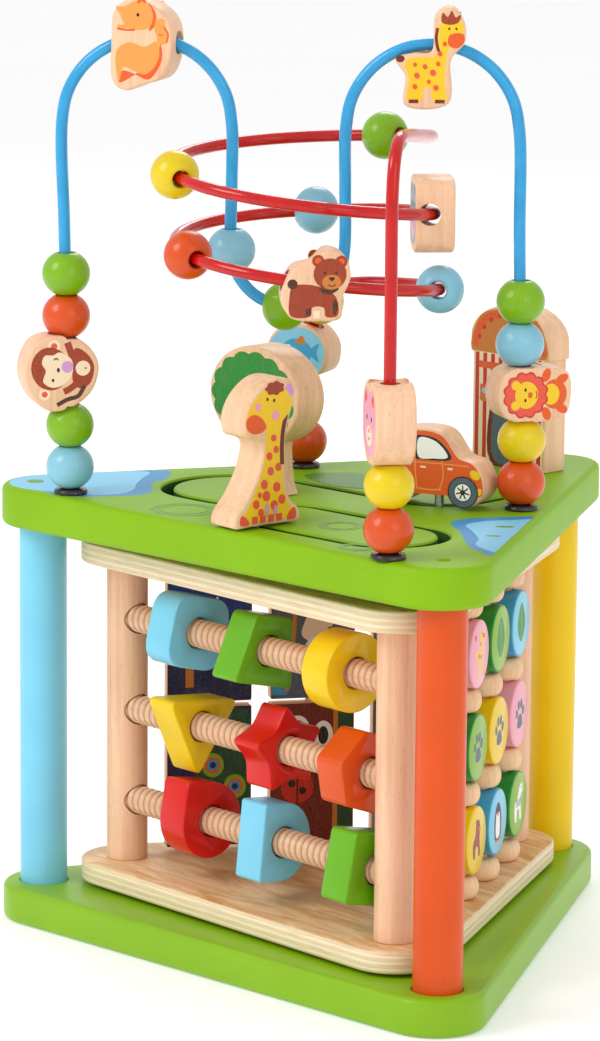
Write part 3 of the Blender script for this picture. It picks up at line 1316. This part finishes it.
def car_shapes():
    return [
        ("orange", soft([
            (-31, 9), (-31.6, 18), (-28, 25), (-23, 35), (-8, 38.8), (5, 36.8), (14, 26), (22, 23.2),
            (27, 16), (27, 7.4), (17, 6.4), (8, 6.2), (-10, 6.2), (-20, 6.2),
        ], 5)),
        ("black", soft([(-24.4, 24.6), (-21, 33.4), (-8, 36.4), (3, 34.6), (10.4, 25.4), (-8, 24)], 6)),
        ("sky", soft([(-22.8, 25.4), (-20, 32.4), (-11, 34.6), (-10.4, 25)], 4)),
        ("white", soft([(-7.6, 25), (-7.6, 35), (2, 33.6), (8.4, 26), (0, 24.8)], 5)),
        ("apricot", stroke([(-9.4, 35), (-9.6, 20), (-8.4, 9)], 0.6)),
        ("apricot", stroke([(5, 24), (6, 16), (4, 9)], 0.6)),
        ("apricot", stroke([(-30, 22), (-12, 22.4), (8, 22.4), (20, 22.2)], 0.5)),
        ("apricot", stroke([(-9, 9), (-2, 8.6), (5, 9)], 0.7)),
        ("yellow", oval(23.4, 18, 3, 2.2, -35)),
        ("yellow", soft([(23.6, 10.4), (27, 11), (26.6, 8), (24, 7.6)], 4)),
        ("red", oval(-29.6, 19, 1.6, 2.6, 10)),
        ("cream", box_shape(-6.6, 19.6, -3.6, 20.6)),
        ("cream", box_shape(8.4, 19.6, 11.2, 20.6)),
    ] + wheel_shapes(-20, 8.6) + wheel_shapes(17, 8.6)


def barn_shapes():
    shapes = [
        ("tan", soft([
            (-26.4, 61.4), (-26.4, 69), (-19.4, 81), (0, 85), (19.4, 81), (26.4, 69), (26.4, 61.4),
            (0, 60.6),
        ], 6)),
    ]
    shapes += [("orange", stroke([(-24.4, 63), (-19, 77), (0, 82.6), (19, 77), (24.4, 63)], 4.0))]
    for i in range(9):
        a = (160 - 17.5 * i) * RAD
        shapes.append(("red", oval(24 * math.cos(a) * 0.94, 61.5 + 20.6 * math.sin(a), 1.3)))
    shapes.append(("cream", box_shape(-24.6, 2, 24.6, 60.6)))
    for i in range(9):
        x = -23.6 + i * 5.55
        shapes.append(("red", box_shape(x, 2.4, x + 2.7, 60.2)))
    shapes += [
        ("maroon", soft([(-12, 2), (-12, 34), (-7, 44), (0, 46.6), (7, 44), (12, 34), (12, 2)], 5)),
        ("steel", soft([
            (-9.4, 3), (-9.4, 33), (-5, 40.6), (0, 42.8), (5, 40.6), (9.4, 33), (9.4, 3),
        ], 5)),
        ("orange", box_shape(-21, 52, 21, 55.6)),
        ("tan", oval(0, 68, 5.4)),
        ("white", oval(0, 68, 3.6)),
    ]
    for side in (-1, 1):
        shapes += [
            ("orange", box_shape(side * 17 - 2.8, 36, side * 17 + 2.8, 43)),
            ("tan", oval(side * 17, 35.6, 3.2, 2.0)),
            ("sky", oval(side * 17, 39.6, 1.7)),
        ]
    return shapes


def barn_outline():
    arch = [(28 * math.cos(a) if abs(math.cos(a)) > 0.02 else 0.0, 69 + 18 * math.sin(a))
            for a in (math.pi * i / 22 for i in range(23))]
    return [(-26, 0), (26, 0), (26, 59.6), (28, 60.4)] + arch + [(-28, 60.4), (-26, 59.6)]


def car_outline():
    return soft([
        (-31.4, 8), (-32, 18), (-28.6, 26), (-24, 36), (-8, 39.8), (5, 37.8), (15, 26), (23.6, 23),
        (27.8, 15.4), (27.4, 7), (23.6, 2.6), (17, 0.2), (10.4, 2.6), (7.6, 6), (-10.6, 6), (-13.4, 2.6),
        (-20, 0.2), (-26.6, 2.6),
    ], 8)


def giraffe_outline():
    return soft([
        (-20.6, 0.6), (-20.4, 6), (-12.4, 15.6), (-4.6, 30), (-3.6, 41.6), (-13.4, 46), (-14.8, 55),
        (-9.2, 65.6), (3, 73.4), (14.6, 72.2), (17.6, 65.6), (13.6, 52), (11.5, 42), (12.4, 24),
        (15, 11.6), (20.6, 6.2), (20.6, 0.6), (10, 0), (0, 0), (-10, 0),
    ], 7)


def tree_outline():
    crown = [(32.3 * math.cos(a * RAD), 52 + 25.8 * math.sin(a * RAD)) for a in range(-72, 253, 9)]
    return (
        [(-14, 0.2), (14, 0.2), (11.6, 6), (10.2, 14), (9.6, 24)]
        + crown
        + [(-9.6, 24), (-10.2, 14), (-11.6, 6)]
    )


def peg(name, x, y, height, body):
    """The stem through the slot and its round head underneath."""
    low = TOP_FACE - 14.0
    profile = [
        (5.0, low),
        (5.2, low + 0.4),
        (5.2, low + 2.8),
        (4.8, low + 3.2),
        (2.5, low + 3.4),
        (2.4, low + 4),
        (2.4, TOP_FACE + height),
    ]
    settle(turned(name, profile, STEEL, moved(x, y, 0), 28), body, "printed_beech")


def build_figures():
    rows = (
        (
            "giraffe",
            giraffe_outline(),
            giraffe_shapes(),
            (17, -85),
            FIGURE_LIFT,
            84,
            FIGURE_THICKNESS,
            "giraffe_figure",
        ),
        (
            "car",
            car_outline(),
            car_shapes(),
            (45.5, 20.6),
            FIGURE_LIFT,
            20,
            FIGURE_THICKNESS,
            "car_figure",
        ),
        ("tree", tree_outline(), tree_shapes(), (-39, -20), CLEAR, 0, FIGURE_THICKNESS, "stand"),
        ("barn", barn_outline(), barn_shapes(), (-2, 135), CLEAR, 0, 17.5, "stand"),
    )
    for name, outline, shapes, (x, y), lift, facing, thickness, body in rows:
        half = thickness / 2
        place = standing((x, y, TOP_FACE + lift), facing - 90)
        figure = board_piece(name + "_cut_out", outline, -half, half, 1.6, FIGURE_BEECH, place, steps=4)
        settle(figure, body, "printed_beech", name + "_figure")
        print_on(name + "_picture", shapes, half, place, body, "printed_beech")
        behind = standing((x, y, TOP_FACE + lift), facing + 90)
        print_on(name + "_picture_back", flipped(shapes), half, behind, body, "printed_beech")
    peg("giraffe_peg", 17, -85, FIGURE_LIFT + 2, "giraffe_figure")
    peg("car_peg", 45.5, 20.6, 6.6, "car_figure")


# ---------------------------------------------------------------- carousel
def on_side(normal, out, along):
    """A place beside the carousel's axis, out towards one side and along it."""
    a, b = normal * RAD, (normal + 90) * RAD
    return out * math.cos(a) + along * math.cos(b), out * math.sin(a) + along * math.sin(b)


def build_frame():
    outline = rounded_triangle(PLATE_INRADIUS, PLATE_CORNER)
    for name, low, high in (("lower", PLATE_LOWER, FLOOR), ("upper", CEILING, PLATE_UPPER)):
        plate = board_piece(f"plywood_{name}", outline, low, high, 1.8, PLYWOOD, ON_CAROUSEL)
        settle(plate, "carousel", "birch_plywood", f"carousel_{name}_plate")
    washers = (
        ("lower", BASE_TOP + CLEAR, PLATE_LOWER + 0.2),
        ("upper", PLATE_UPPER - 0.2, TOP_UNDER - CLEAR),
    )
    for name, low, high in washers:
        profile = [(17.6, low), (18, low + 0.3), (18, high - 0.3), (17.6, high)]
        washer = turned(f"bearing_{name}", profile, BLACK, ON_CAROUSEL)
        settle(washer, "carousel", "birch_plywood")
    for name, low, high in (("lower", BASE_TOP - 7, FLOOR + 1.0), ("upper", CEILING - 1.0, TOP_UNDER + 7)):
        profile = [(3.6, low), (4, low + 0.5), (4, high - 0.5), (3.4, high)]
        settle(turned(f"pivot_pin_{name}", profile, STEEL, ON_CAROUSEL, 28), "carousel", "birch_plywood")
    for name, angle in (("left", 210), ("right", -30), ("back", 90)):
        x, y = polar(angle, INNER_POST_RING)
        profile = [(INNER_POST_RADIUS - 0.4, FLOOR), (INNER_POST_RADIUS, FLOOR + 0.4),
                   (INNER_POST_RADIUS, CEILING - 0.4), (INNER_POST_RADIUS - 0.4, CEILING)]
        post = turned("beech_post_" + name, profile, POST_BEECH, ON_CAROUSEL @ moved(x, y, 0), 56)
        if name != "back":
            inward = 1 if name == "left" else -1
            holes = []
            for height in ROD_HEIGHTS:
                at = ON_CAROUSEL @ moved(x + inward * (INNER_POST_RADIUS + 0.3), y, height)
                drill = turned(
                    "cutter", [(8.2, -5), (8.2, 5)], BLACK, at @ Matrix.Rotation(90 * RAD, 4, "Y"), 36
                )
                holes.append(drill)
            carve(post, *holes)
        settle(post, "carousel", "bare_beech", "inner_post_" + name)


def threaded_rod(name, height, half_length):
    """A round rod with a coarse rounded thread, lying along the carousel's X."""
    turn_points, along_points = 40, round(2 * half_length / 0.42)
    rings = []
    for i in range(along_points + 1):
        x = -half_length + 2 * half_length * i / along_points
        ring = []
        for k in range(turn_points):
            a = 2 * math.pi * k / turn_points
            phase = (x / THREAD_PITCH - k / turn_points) % 1
            ridge = abs(math.cos(math.pi * phase)) ** 0.8
            r = ROD_RADIUS - THREAD_DEPTH * (1 - ridge)
            ring.append((x, r * math.cos(a), r * math.sin(a)))
        rings.append(ring)
    return piece_from(name, *loft(rings), ROD_BEECH, ON_CAROUSEL @ moved(0, -SIDE, height), smooth_below=60)


def corner_rounded(points, reach, each=6):
    """Straight sides with rounded corners."""
    made = []
    count = len(points)
    for i, point in enumerate(points):
        p = Vector(point)
        ends = []
        for other in (points[i - 1], points[(i + 1) % count]):
            span = Vector(other) - p
            ends.append(p + span * min(reach / span.length, 0.48))
        for k in range(each + 1):
            t = k / each
            q = ends[0] * (1 - t) ** 2 + p * 2 * t * (1 - t) + ends[1] * t * t
            made.append((q.x, q.y))
    return made


def ring_of(count, radius, start):
    return [
        (
            radius * math.cos((start + 360 * i / count) * RAD),
            radius * math.sin((start + 360 * i / count) * RAD),
        )
        for i in range(count)
    ]


def star_outline():
    points = []
    for i in range(10):
        radius = 24 if i % 2 == 0 else 14.5
        points.append((radius * math.cos((90 + 36 * i) * RAD), radius * math.sin((90 + 36 * i) * RAD)))
    return corner_rounded(points, 4.2)


def drop_outline():
    arc = [(20 * math.cos(a * RAD), 20 * math.sin(a * RAD)) for a in range(180, 451, 9)]
    corner = [(-17 - 3 * math.sin(a * RAD), 17 + 3 * math.cos(a * RAD)) for a in range(0, 91, 15)]
    return arc + corner


def dome_outline():
    arc = [(18 * math.cos(a * RAD), 20.5 * math.sin(a * RAD)) for a in range(-90, 91, 9)]
    upper = [(-13 - 2 * math.sin(a * RAD), 18.5 + 2 * math.cos(a * RAD)) for a in range(0, 91, 15)]
    lower = [(-13 - 2 * math.cos(a * RAD), -18.5 - 2 * math.sin(a * RAD)) for a in range(0, 91, 15)]
    return arc + upper + lower


def square_of(half):
    return [(-half, -half), (half, -half), (half, half), (-half, half)]


NUTS = (
    ("nut_cushion_blue", 0, -56, -14, "sky", corner_rounded(square_of(19), 12, 12)),
    (
        "nut_wedge_green",
        0,
        -1,
        -13,
        "green",
        corner_rounded([(-20, -18), (20, -18), (12.5, 18), (-12.5, 18)], 3.4),
    ),
    ("nut_round_yellow", 0, 64.5, 0, "yellow", oval(0, 0, 20.4, count=72)),
    ("nut_triangle_yellow", 1, -53, -6, "yellow", corner_rounded(ring_of(3, 27.4, 30), 6, 9)),
    ("nut_star_red", 1, 15, 4, "red", star_outline()),
    ("nut_hexagon_orange", 1, 76.5, 10, "orange", corner_rounded(ring_of(6, 22.4, 30), 2.6)),
    ("nut_drop_red", 2, -45, -10, "red", drop_outline()),
    ("nut_dome_blue", 2, 11.5, -6, "sky", dome_outline()),
    ("nut_square_green", 2, 81.5, -12, "green", corner_rounded(square_of(18.4), 3.2)),
)


def build_nuts():
    half_length = INNER_POST_RING * math.cos(30 * RAD) - INNER_POST_RADIUS + 4.6
    for name, height in zip(("top", "middle", "bottom"), ROD_HEIGHTS):
        rod = threaded_rod(f"threaded_rod_{name}", height, half_length)
        settle(rod, "carousel", "bare_beech", "thread_rod_" + name)
    for name, row, x, turn, tint, outline in NUTS:
        on_rod = ON_CAROUSEL @ moved(x, -SIDE, ROD_HEIGHTS[row])
        place = on_rod @ Matrix.Rotation(turn * RAD, 4, "X") @ standing((0, 0, 0), 0)
        half = NUT_THICKNESS / 2
        nut = board_piece(
            "wooden_" + name, outline, -half, half, 1.0, NUT_PAINTS[tint], place, smooth_below=50
        )
        carve(nut, flared_bore(NUT_BORE, half, place, 0.8), smooth_below=50)
        settle(nut, name, tint + "_paint", name)


DISC_FACES = (
    (("teal", "sky", "penguin"), ("pink", "pink", "paw"), ("yellow", "yellow", "bear")),
    (("pink", "pink", "giraffe"), ("leaf", "lime", "paw"), ("yellow", "yellow", "bear")),
    (("leaf", "lime", "leaf"), ("yellow", "yellow", "paw"), ("teal", "sky", "penguin")),
    (("teal", "sky", "leaf"), ("pink", "pink", "paw"), ("leaf", "lime", "zebra")),
)


def giraffe_icon():
    return [
        ("yellow", soft([
            (-3, -12), (-3, -3), (-6, 0), (-4, 3), (0, 2), (0, 9), (4, 12), (7, 9), (4, 6), (4, -1),
            (4, -12), (2, -12), (1, -5), (-1, -5), (-1, -12),
        ], 4)),
        ("orange", oval(1.6, 5, 1.1)),
        ("orange", oval(-1, -1, 1.2)),
        ("orange", oval(2.4, -2, 1.1)),
        ("maroon", oval(4.6, 9.8, 0.6)),
        ("coral", oval(7, 8.4, 1.6, 1.2)),
        ("red", soft([(-9, 10), (-7.6, 11.4), (-6.4, 10), (-7.6, 8)], 3)),
    ]


def bear_icon():
    return [
        ("brown", soft([
            (-6, -9), (-7, -1), (-3, 3), (-1, 9), (4, 10), (6, 5), (5, 0), (6, -9), (3, -9), (2, -4),
            (-2, -4), (-3, -9),
        ], 4)),
        ("dark_brown", oval(3.4, 6.8, 0.7)),
        ("tan", oval(5, 5, 1.8, 1.3)),
        ("brown", oval(-0.4, 9.4, 1.7)),
    ]


def penguin_icon():
    return [
        ("navy", soft([(-5, -9), (-6.6, 0), (-4, 8), (0, 10.6), (4, 8), (6.6, 0), (5, -9), (0, -10)], 5)),
        ("white", soft([(-3, -8), (-4, -1), (-2.4, 5), (0, 3.6), (2.4, 5), (4, -1), (3, -8)], 4)),
        ("orange", soft([(-1.4, 5), (1.4, 5), (0, 2.6)], 3)),
        ("orange", oval(-2.6, -10, 2, 1)),
        ("orange", oval(2.6, -10, 2, 1)),
        ("black", oval(-1.8, 6.6, 0.6)),
        ("black", oval(1.8, 6.6, 0.6)),
    ]


def zebra_icon():
    body = soft([
        (-6, -9), (-7, 1), (-2, 3), (2, 9), (7, 10), (8, 6), (4, 3), (6, -9), (3, -9), (1, -3),
        (-2, -3), (-3.4, -9),
    ], 4)
    stripes = [("steel", stroke([(x, -1.5), (x + 0.6, 2.6)], 1.0)) for x in (-4.6, -2.2, 0.2, 2.6)]
    return [("white", body)] + stripes + [("black", oval(5.4, 8, 0.6))]


def leaf_icon():
    return [
        ("leaf", soft([(0, -10), (-7, -2), (-5, 6), (0, 11), (5, 6), (7, -2)], 6)),
        ("lime", stroke([(0, -9), (0.4, 0), (0, 9)], 0.9)),
    ]


def paw_icon():
    pads = [
        ("steel", oval(x, y, 2.0, 2.7, t))
        for x, y, t in ((-6, 1, 20), (-2.4, 5, 6), (2.4, 5, -6), (6, 1, -20))
    ]
    palm = soft([(-5, -6), (-2.6, -0.6), (2.6, -0.6), (5, -6), (2, -7.6), (-2, -7.6)], 5)
    return [("steel", palm)] + pads


ICONS = {
    "giraffe": giraffe_icon, "bear": bear_icon, "penguin": penguin_icon, "zebra": zebra_icon,
    "leaf": leaf_icon, "paw": paw_icon,
}


def disc_piece(column, row, x, y, edge, face, icon):
    height = DISC_HEIGHTS[row]
    place = ON_CAROUSEL @ standing((x, y, height), DISC_SIDE)
    name = f"disc_{column}_{row + 1}"
    half, rim = DISC_THICKNESS / 2, DISC_RADIUS - 1.0
    outline = oval(0, 0, DISC_RADIUS, count=72)
    core = board_piece("flip_" + name, outline, -half, half, 0.9, DISC_PAINTS[edge], place, smooth_below=50)
    hole = turned("cutter", [(4, -25), (4, 25)], BLACK, ON_CAROUSEL @ moved(x, y, height), 28)
    carve(core, hole, smooth_below=50)
    slot = {"leaf": "green", "teal": "sky"}.get(edge, edge) + "_paint"
    settle(core, name, slot, name)
    for side, turn in (("front", 0), ("back", 180)):
        disc_place = ON_CAROUSEL @ standing((x, y, height), DISC_SIDE + turn)
        profile = [(rim - 0.1, half - 0.3), (rim, half + 0.02), (rim - 0.1, half + 0.06)]
        ground = turned(f"{name}_face_{side}", profile, DISC_PAINTS[face], disc_place, 64)
        settle(ground, name, slot)
        print_on(f"{name}_icon_{side}", ICONS[icon](), half + 0.06, disc_place, name, slot)


def build_discs():
    for c, k in enumerate((-1.5, -0.5, 0.5, 1.5)):
        x, y = on_side(DISC_SIDE, SIDE + 9, k * DISC_PITCH)
        place = ON_CAROUSEL @ moved(x, y, 0)
        rod = turned(f"disc_rod_{c + 1}", [(3.1, FLOOR - 1), (3.1, CEILING + 1)], RING_BEECH, place, 24)
        settle(rod, "carousel", "bare_beech")
        gaps = [(DISC_HEIGHTS[i] + DISC_HEIGHTS[i - 1]) / 2 for i in (2, 1)]
        for i, middle in enumerate((FLOOR + 6, *gaps, CEILING - 6.5)):
            profile = []
            for j in range(13):
                a = (-78 + 156 * j / 12) * RAD
                profile.append((3.3 + 6.4 * math.cos(a) ** 0.6, middle + 6.1 * math.sin(a)))
            ring = turned(f"spacer_{c + 1}_{i + 1}", profile, RING_BEECH, place, 40, smooth_below=60)
            settle(ring, "carousel", "bare_beech")
        for row in range(3):
            disc_piece(c + 1, row, x, y, *DISC_FACES[c][row])


PRINT_MARGIN = 0.3  # bare wood round the picture on a tile
TILE_GROUND = box_shape(-22.6, -37.9, 22.6, 37.9)


def eye_feather(x, y, size):
    return [
        ("lime", oval(x, y, size, size * 1.1)),
        ("coral", oval(x, y, size * 0.72)),
        ("blue", oval(x, y, size * 0.5)),
        ("navy", oval(x, y, size * 0.28)),
    ]


def night_tile():
    return [
        ("navy", TILE_GROUND),
        ("deep_blue", box_shape(-22, 8, 22, 36)),
        ("blue", soft([(-22, 4), (-8, 10), (6, 5), (22, 9), (22, 1), (-22, -2)], 5)),
        ("tan", box_shape(-13, -30, -8.6, -2)),
        ("bottle", scalloped(-10, 3, 12, 12, 9, 0.14)),
        ("leaf", scalloped(-11, 5, 7, 7, 7, 0.14)),
        ("lime", oval(10, -14, 3.6)),
        ("apricot", oval(13, 24, 5.4)),
        ("navy", oval(11, 25, 4.8)),
        ("white", oval(-4, 28, 0.8)),
        ("white", oval(4, 18, 0.7)),
    ]


def feather_tile():
    shapes = [
        ("navy", TILE_GROUND),
        ("bottle", soft([(-4, -35), (21, -35), (21, 35), (2, 34), (-8, 6)], 6)),
    ]
    for x, y, size in ((10, 24, 6), (2, 6, 6), (14, -6, 6), (0, -20, 5.4), (15, -26, 5)):
        shapes += eye_feather(x, y, size)
    return shapes + [
        ("grey", box_shape(-22, -36, -12, 0)),
        ("pink", oval(-16, -12, 3)),
    ]


def pony_tile():
    return [
        ("steel", TILE_GROUND),
        ("cream", soft([(-6, 36), (14, 34), (20, 20), (12, 4), (4, -8), (-6, -4), (-2, 12)], 6)),
        ("white", soft([(-2, -6), (12, -4), (14, -20), (4, -32), (-6, -22)], 6)),
        ("black", soft([(8, 0), (20, -4), (18, -22), (12, -10)], 5)),
        ("white", oval(10, 14, 3.4)),
        ("black", oval(10, 14, 1.6)),
        ("blue", box_shape(-22, -36, -14, -4)),
        ("tan", stroke([(-14, 34), (-10, 8), (-14, -34)], 2.2)),
    ]


def ladybird_tile():
    return (
        [
            ("maroon", TILE_GROUND),
            ("white", oval(-8, 24, 6.4, 7.4)),
            ("maroon", oval(-8, 24, 3.8, 4.8)),
            ("white", oval(6, 20, 5.4, 8)),
            ("black", oval(6, 20, 2.8, 5)),
            ("bottle", box_shape(14, -36, 22, 36)),
            ("tan", box_shape(11.4, -36, 14, 36)),
        ]
        + eye_feather(18, 16, 3.6)
        + [
            ("red", oval(-8, -8, 9)),
            ("black", oval(-11, -6, 2)),
            ("black", oval(-5, -10, 2)),
            ("black", stroke([(-8, 1), (-8, -8), (-8, -17)], 0.8)),
        ]
    )


def forest_tile():
    return [
        ("bottle", TILE_GROUND),
        ("grey", box_shape(-22, -36, -6, 36)),
        ("leaf", scalloped(8, 12, 11, 14, 9, 0.14)),
        ("tan", box_shape(6.4, -30, 9.6, 0)),
        ("orange", oval(-14, 18, 4)),
        ("cream", oval(-14, 18, 2)),
        ("lime", oval(8, -20, 5, 3)),
    ]


def bird_tile():
    return [
        ("steel", TILE_GROUND),
        ("grey", soft([(-22, -36), (22, -36), (22, -12), (4, -4), (-22, -14)], 5)),
        ("coral", soft([(-10, 4), (-4, 14), (8, 14), (14, 6), (8, -4), (-4, -6)], 6)),
        ("cream", oval(2, 2, 5, 4)),
        ("black", oval(7, 9, 1.1)),
        ("yellow", soft([(13, 8), (18, 6), (13, 4)], 4)),
        ("white", oval(-12, 26, 6, 3)),
        ("white", oval(-6, 28, 5, 3)),
    ]


def kept_within(points, w, h):
    """Keeps a picture on its tile."""
    return [(max(-w, min(w, x)), max(-h, min(h, y))) for x, y in points]


def build_panels():
    middle = (FLOOR + CEILING) / 2
    room = CEILING - FLOOR - 2 * CLEAR
    offset = (room - 2 * PANEL_HEIGHT) / 6 + PANEL_HEIGHT / 2
    pictures = ((night_tile, feather_tile), (pony_tile, ladybird_tile), (forest_tile, bird_tile))
    half_width, half_height = PANEL_WIDTH / 2, PANEL_HEIGHT / 2
    tile_outline = corner_rounded(box_shape(-half_width, -half_height, half_width, half_height), 1.5, 3)
    for i, k in enumerate((-1, 0, 1)):
        name = f"picture_panel_{i + 1}"
        x, y = on_side(PANEL_SIDE, SIDE + 6, -(k * 56 - 4))
        half = PANEL_THICKNESS / 2
        w, h = PANEL_WIDTH / 2 - PRINT_MARGIN, PANEL_HEIGHT / 2 - PRINT_MARGIN
        upper, lower = pictures[i]
        for part, z, picture in (("top", middle + offset, upper), ("bottom", middle - offset, lower)):
            place = ON_CAROUSEL @ standing((x, y, z), PANEL_SIDE)
            tile = board_piece(f"{name}_{part}", tile_outline, -half, half, 0.7, FIGURE_BEECH, place, steps=3)
            settle(tile, name, "panel_print", *([name] if part == "top" else []))
            for side, turn in (("front", 0), ("back", 180)):
                shapes = [(tint, kept_within(shape, w, h)) for tint, shape in picture()]
                face = ON_CAROUSEL @ standing((x, y, z), PANEL_SIDE + turn)
                print_on(f"{name}_{part}_{side}", shapes, half, face, name, "panel_print")
        low, high = middle - room / 2, middle + room / 2
        profile = [(3.0, low), (3.2, low + 0.4), (3.2, high - 0.4), (3.0, high)]
        rod = turned(f"{name}_rod", profile, RING_BEECH, ON_CAROUSEL @ moved(x, y, 0), 24)
        settle(rod, name, "panel_print")


place_camera()
make_floor()
build_stand()
build_top()
build_wires()
build_beads()
build_blocks()
build_figures()
build_frame()
build_nuts()
build_discs()
build_panels()
